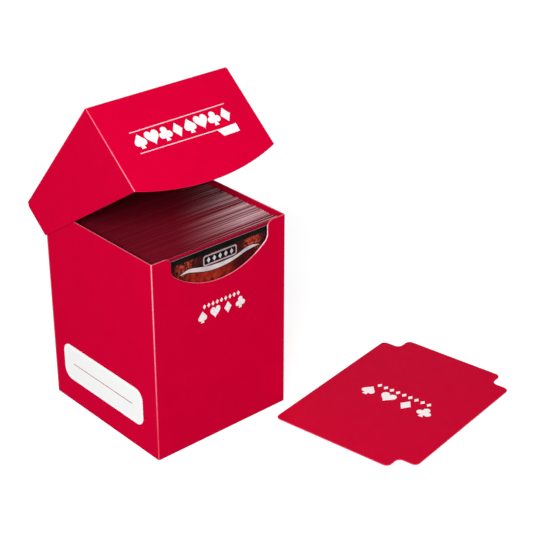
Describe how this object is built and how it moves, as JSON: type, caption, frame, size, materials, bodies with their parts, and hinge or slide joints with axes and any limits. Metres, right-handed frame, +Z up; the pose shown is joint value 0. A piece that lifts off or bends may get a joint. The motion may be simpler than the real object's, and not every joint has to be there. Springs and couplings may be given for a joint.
{
  "type": "card deck box",
  "caption": "Folding plastic deck box with a hinged lid, thumb notch and side label, holding a deck of sleeved cards, with a loose card divider beside it.",
  "frame": {"origin": "middle of the case's underside, on the table", "axes": "+X to the right along the front panel's width, -Y out of the front panel with the thumb notch, +Z up"},
  "size_m": [0.1676, 0.1695, 0.1547],
  "materials": {
    "case_plastic": "fine matte red polypropylene sheet",
    "lid_plastic": "fine matte red polypropylene sheet",
    "divider_plastic": "fine matte red polypropylene sheet",
    "label": "matt white write-on film",
    "sleeves": "card sleeves, film edges over card stock",
    "card_face": "printed card in a clear-faced sleeve"
  },
  "bodies": {
    "case": {"front_panel": "case_plastic", "left_side_panel": "case_plastic", "right_side_panel": "case_plastic", "back_panel": "case_plastic", "lid_hinge_web": "case_plastic", "inner_back_panel": "case_plastic", "bottom_panel": "case_plastic", "bottom_left_flap": "case_plastic", "bottom_right_flap": "case_plastic", "bottom_glue_flap": "case_plastic", "write_on_label": "label"},
    "lid": {"lid_back_strip": "lid_plastic", "lid_top_panel": "lid_plastic", "lid_front_flap": "lid_plastic", "lid_left_side": "lid_plastic", "lid_right_side": "lid_plastic", "lid_left_top_tab": "lid_plastic", "lid_right_top_tab": "lid_plastic"},
    "deck": {"sleeved_cards_01": "sleeves", "sleeved_cards_02": "sleeves", "sleeved_cards_03": "sleeves", "sleeved_cards_04": "sleeves", "sleeved_cards_05": "sleeves", "sleeved_cards_06": "sleeves", "sleeved_cards_07": "sleeves", "sleeved_cards_08": "sleeves", "sleeved_cards_09": "sleeves", "sleeved_cards_10": "sleeves", "sleeved_cards_11": "sleeves"},
    "face_card": {"front_card": "card_face"},
    "divider": {"card_divider": "divider_plastic"}
  },
  "joints": [
    {"name": "lid_hinge", "type": "hinge", "parent": "case", "child": "lid", "pos_m": [0, 0.03895, 0.0822], "axis": [-1, 0, 0], "range_deg": [-49.9, 110]},
    {"name": "deck_lift", "type": "slide", "parent": "case", "child": "deck", "axis": [0, 0, 1], "range_m": [0, 0.0038]},
    {"name": "front_card_lift", "type": "slide", "parent": "case", "child": "face_card", "axis": [0, 0, 1], "range_m": [0, 0.0038]},
    {"name": "divider_lift", "type": "slide", "parent": "case", "child": "divider", "axis": [0, 0, 1], "range_m": [0, 0.06]}
  ]
}
